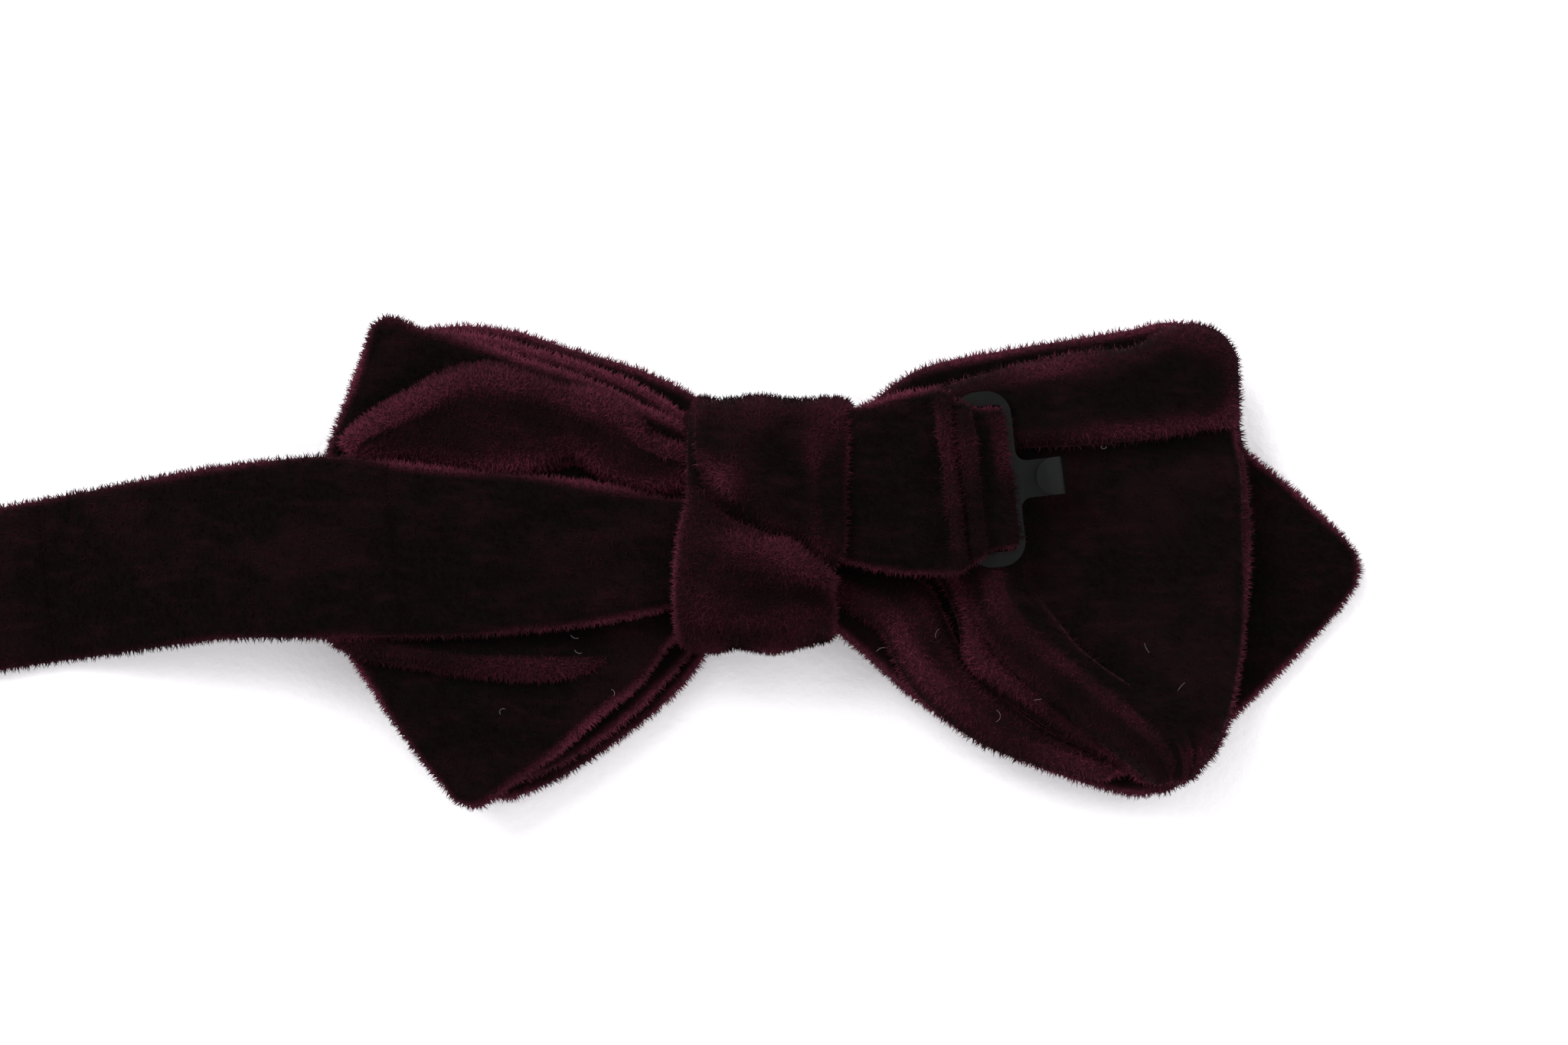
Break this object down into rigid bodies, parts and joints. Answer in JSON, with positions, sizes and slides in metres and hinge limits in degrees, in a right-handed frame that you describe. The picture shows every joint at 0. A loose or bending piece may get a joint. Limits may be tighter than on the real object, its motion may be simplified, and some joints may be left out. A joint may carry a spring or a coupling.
{
  "type": "bow tie",
  "caption": "Ready-tied velvet bow tie with diamond-ended wings, a wrapped knot, a hook on a short tab, and a neck band with a slider and an eye.",
  "frame": {"origin": "middle of the knot's front face, which lies on the table when the tie lies on its front", "axes": "+X towards the wing under the hook, +Y towards the bow's upper edge, +Z from the bow's front to its back, which faces the wearer"},
  "size_m": [0.46, 0.08, 0.0209],
  "materials": {
    "velvet": "deep burgundy cut-pile velvet",
    "canvas": "plain woven interlining",
    "thread": "twisted sewing thread",
    "black_metal": "glossy black coating, lighter at the edges"
  },
  "bodies": {
    "bow": {"front_point": "velvet", "front_point_canvas": "canvas", "back_loop": "velvet", "back_loop_canvas": "canvas", "back_point": "velvet", "back_point_canvas": "canvas", "front_loop": "velvet", "front_loop_canvas": "canvas", "knot_wrap": "velvet", "knot_upper_fold": "velvet", "knot_lower_fold": "velvet", "knot_core": "canvas", "knot_tack": "thread", "band_root": "velvet", "band_root_canvas": "canvas", "tab_root": "velvet"},
    "tab": {"tab_strap": "velvet", "tab_stitching": "thread"},
    "hook": {"hook_plate": "black_metal"},
    "band_1": {"neck_band_1": "velvet", "neck_band_1_canvas": "canvas"},
    "band_2": {"neck_band_2": "velvet", "neck_band_2_canvas": "canvas"},
    "band_3": {"neck_band_3": "velvet", "neck_band_3_canvas": "canvas"},
    "band_4": {"neck_band_4": "velvet", "neck_band_4_canvas": "canvas"},
    "band_5": {"neck_band_5": "velvet", "neck_band_5_canvas": "canvas"},
    "band_6": {"neck_band_6": "velvet", "neck_band_6_canvas": "canvas"},
    "band_end": {"band_end_fold": "velvet", "band_slack": "velvet", "band_return": "velvet"},
    "slider": {"slider_frame": "black_metal", "band_hump": "velvet", "return_wrap": "velvet", "return_stitching": "thread"},
    "eye": {"eye_plate": "black_metal"}
  },
  "joints": [
    {"name": "tab_flex", "type": "hinge", "parent": "bow", "child": "tab", "pos_m": [0.01252, 0.00416, 0.0151], "axis": [0.1132, -0.9936, 0], "range_deg": [0, 60]},
    {"name": "hook_swing", "type": "hinge", "parent": "tab", "child": "hook", "pos_m": [0.02464, 0.00554, 0.0148], "axis": [0.1132, -0.9936, 0], "range_deg": [0, 45]},
    {"name": "band_bend_1", "type": "hinge", "parent": "bow", "child": "band_1", "pos_m": [-0.02583, -0.00021, 0.0151], "axis": [-0.1132, 0.9936, 0], "range_deg": [0, 40]},
    {"name": "band_bend_2", "type": "hinge", "parent": "band_1", "child": "band_2", "pos_m": [-0.07154, -0.00542, 0.01182], "axis": [-0.1132, 0.9936, 0], "range_deg": [0, 40]},
    {"name": "band_bend_3", "type": "hinge", "parent": "band_2", "child": "band_3", "pos_m": [-0.11724, -0.01063, 0.003], "axis": [-0.1132, 0.9936, 0], "range_deg": [0, 40]},
    {"name": "band_bend_4", "type": "hinge", "parent": "band_3", "child": "band_4", "pos_m": [-0.16295, -0.01583, 0.003], "axis": [-0.1132, 0.9936, 0], "range_deg": [0, 40]},
    {"name": "band_bend_5", "type": "hinge", "parent": "band_4", "child": "band_5", "pos_m": [-0.20865, -0.02104, 0.003], "axis": [-0.1132, 0.9936, 0], "range_deg": [0, 40]},
    {"name": "band_bend_6", "type": "hinge", "parent": "band_5", "child": "band_6", "pos_m": [-0.25435, -0.02625, 0.003], "axis": [-0.1132, 0.9936, 0], "range_deg": [0, 40]},
    {"name": "band_shorten", "type": "slide", "parent": "band_6", "child": "band_end", "axis": [0.9936, 0.1132, 0], "range_m": [0, 0.03], "deforming": ["band_slack", "band_return"]},
    {"name": "slider_slide", "type": "slide", "parent": "band_end", "child": "slider", "axis": [0.9936, 0.1132, 0], "range_m": [0, 0.03], "deforming": ["band_return"]},
    {"name": "eye_swing", "type": "hinge", "parent": "band_end", "child": "eye", "pos_m": [-0.36663, -0.03904, 0.0043], "axis": [-0.1132, 0.9936, 0], "range_deg": [0, 60]}
  ],
  "couplings": [
    {"joint": "slider_slide", "follows": "band_shorten", "ratio": 1}
  ]
}
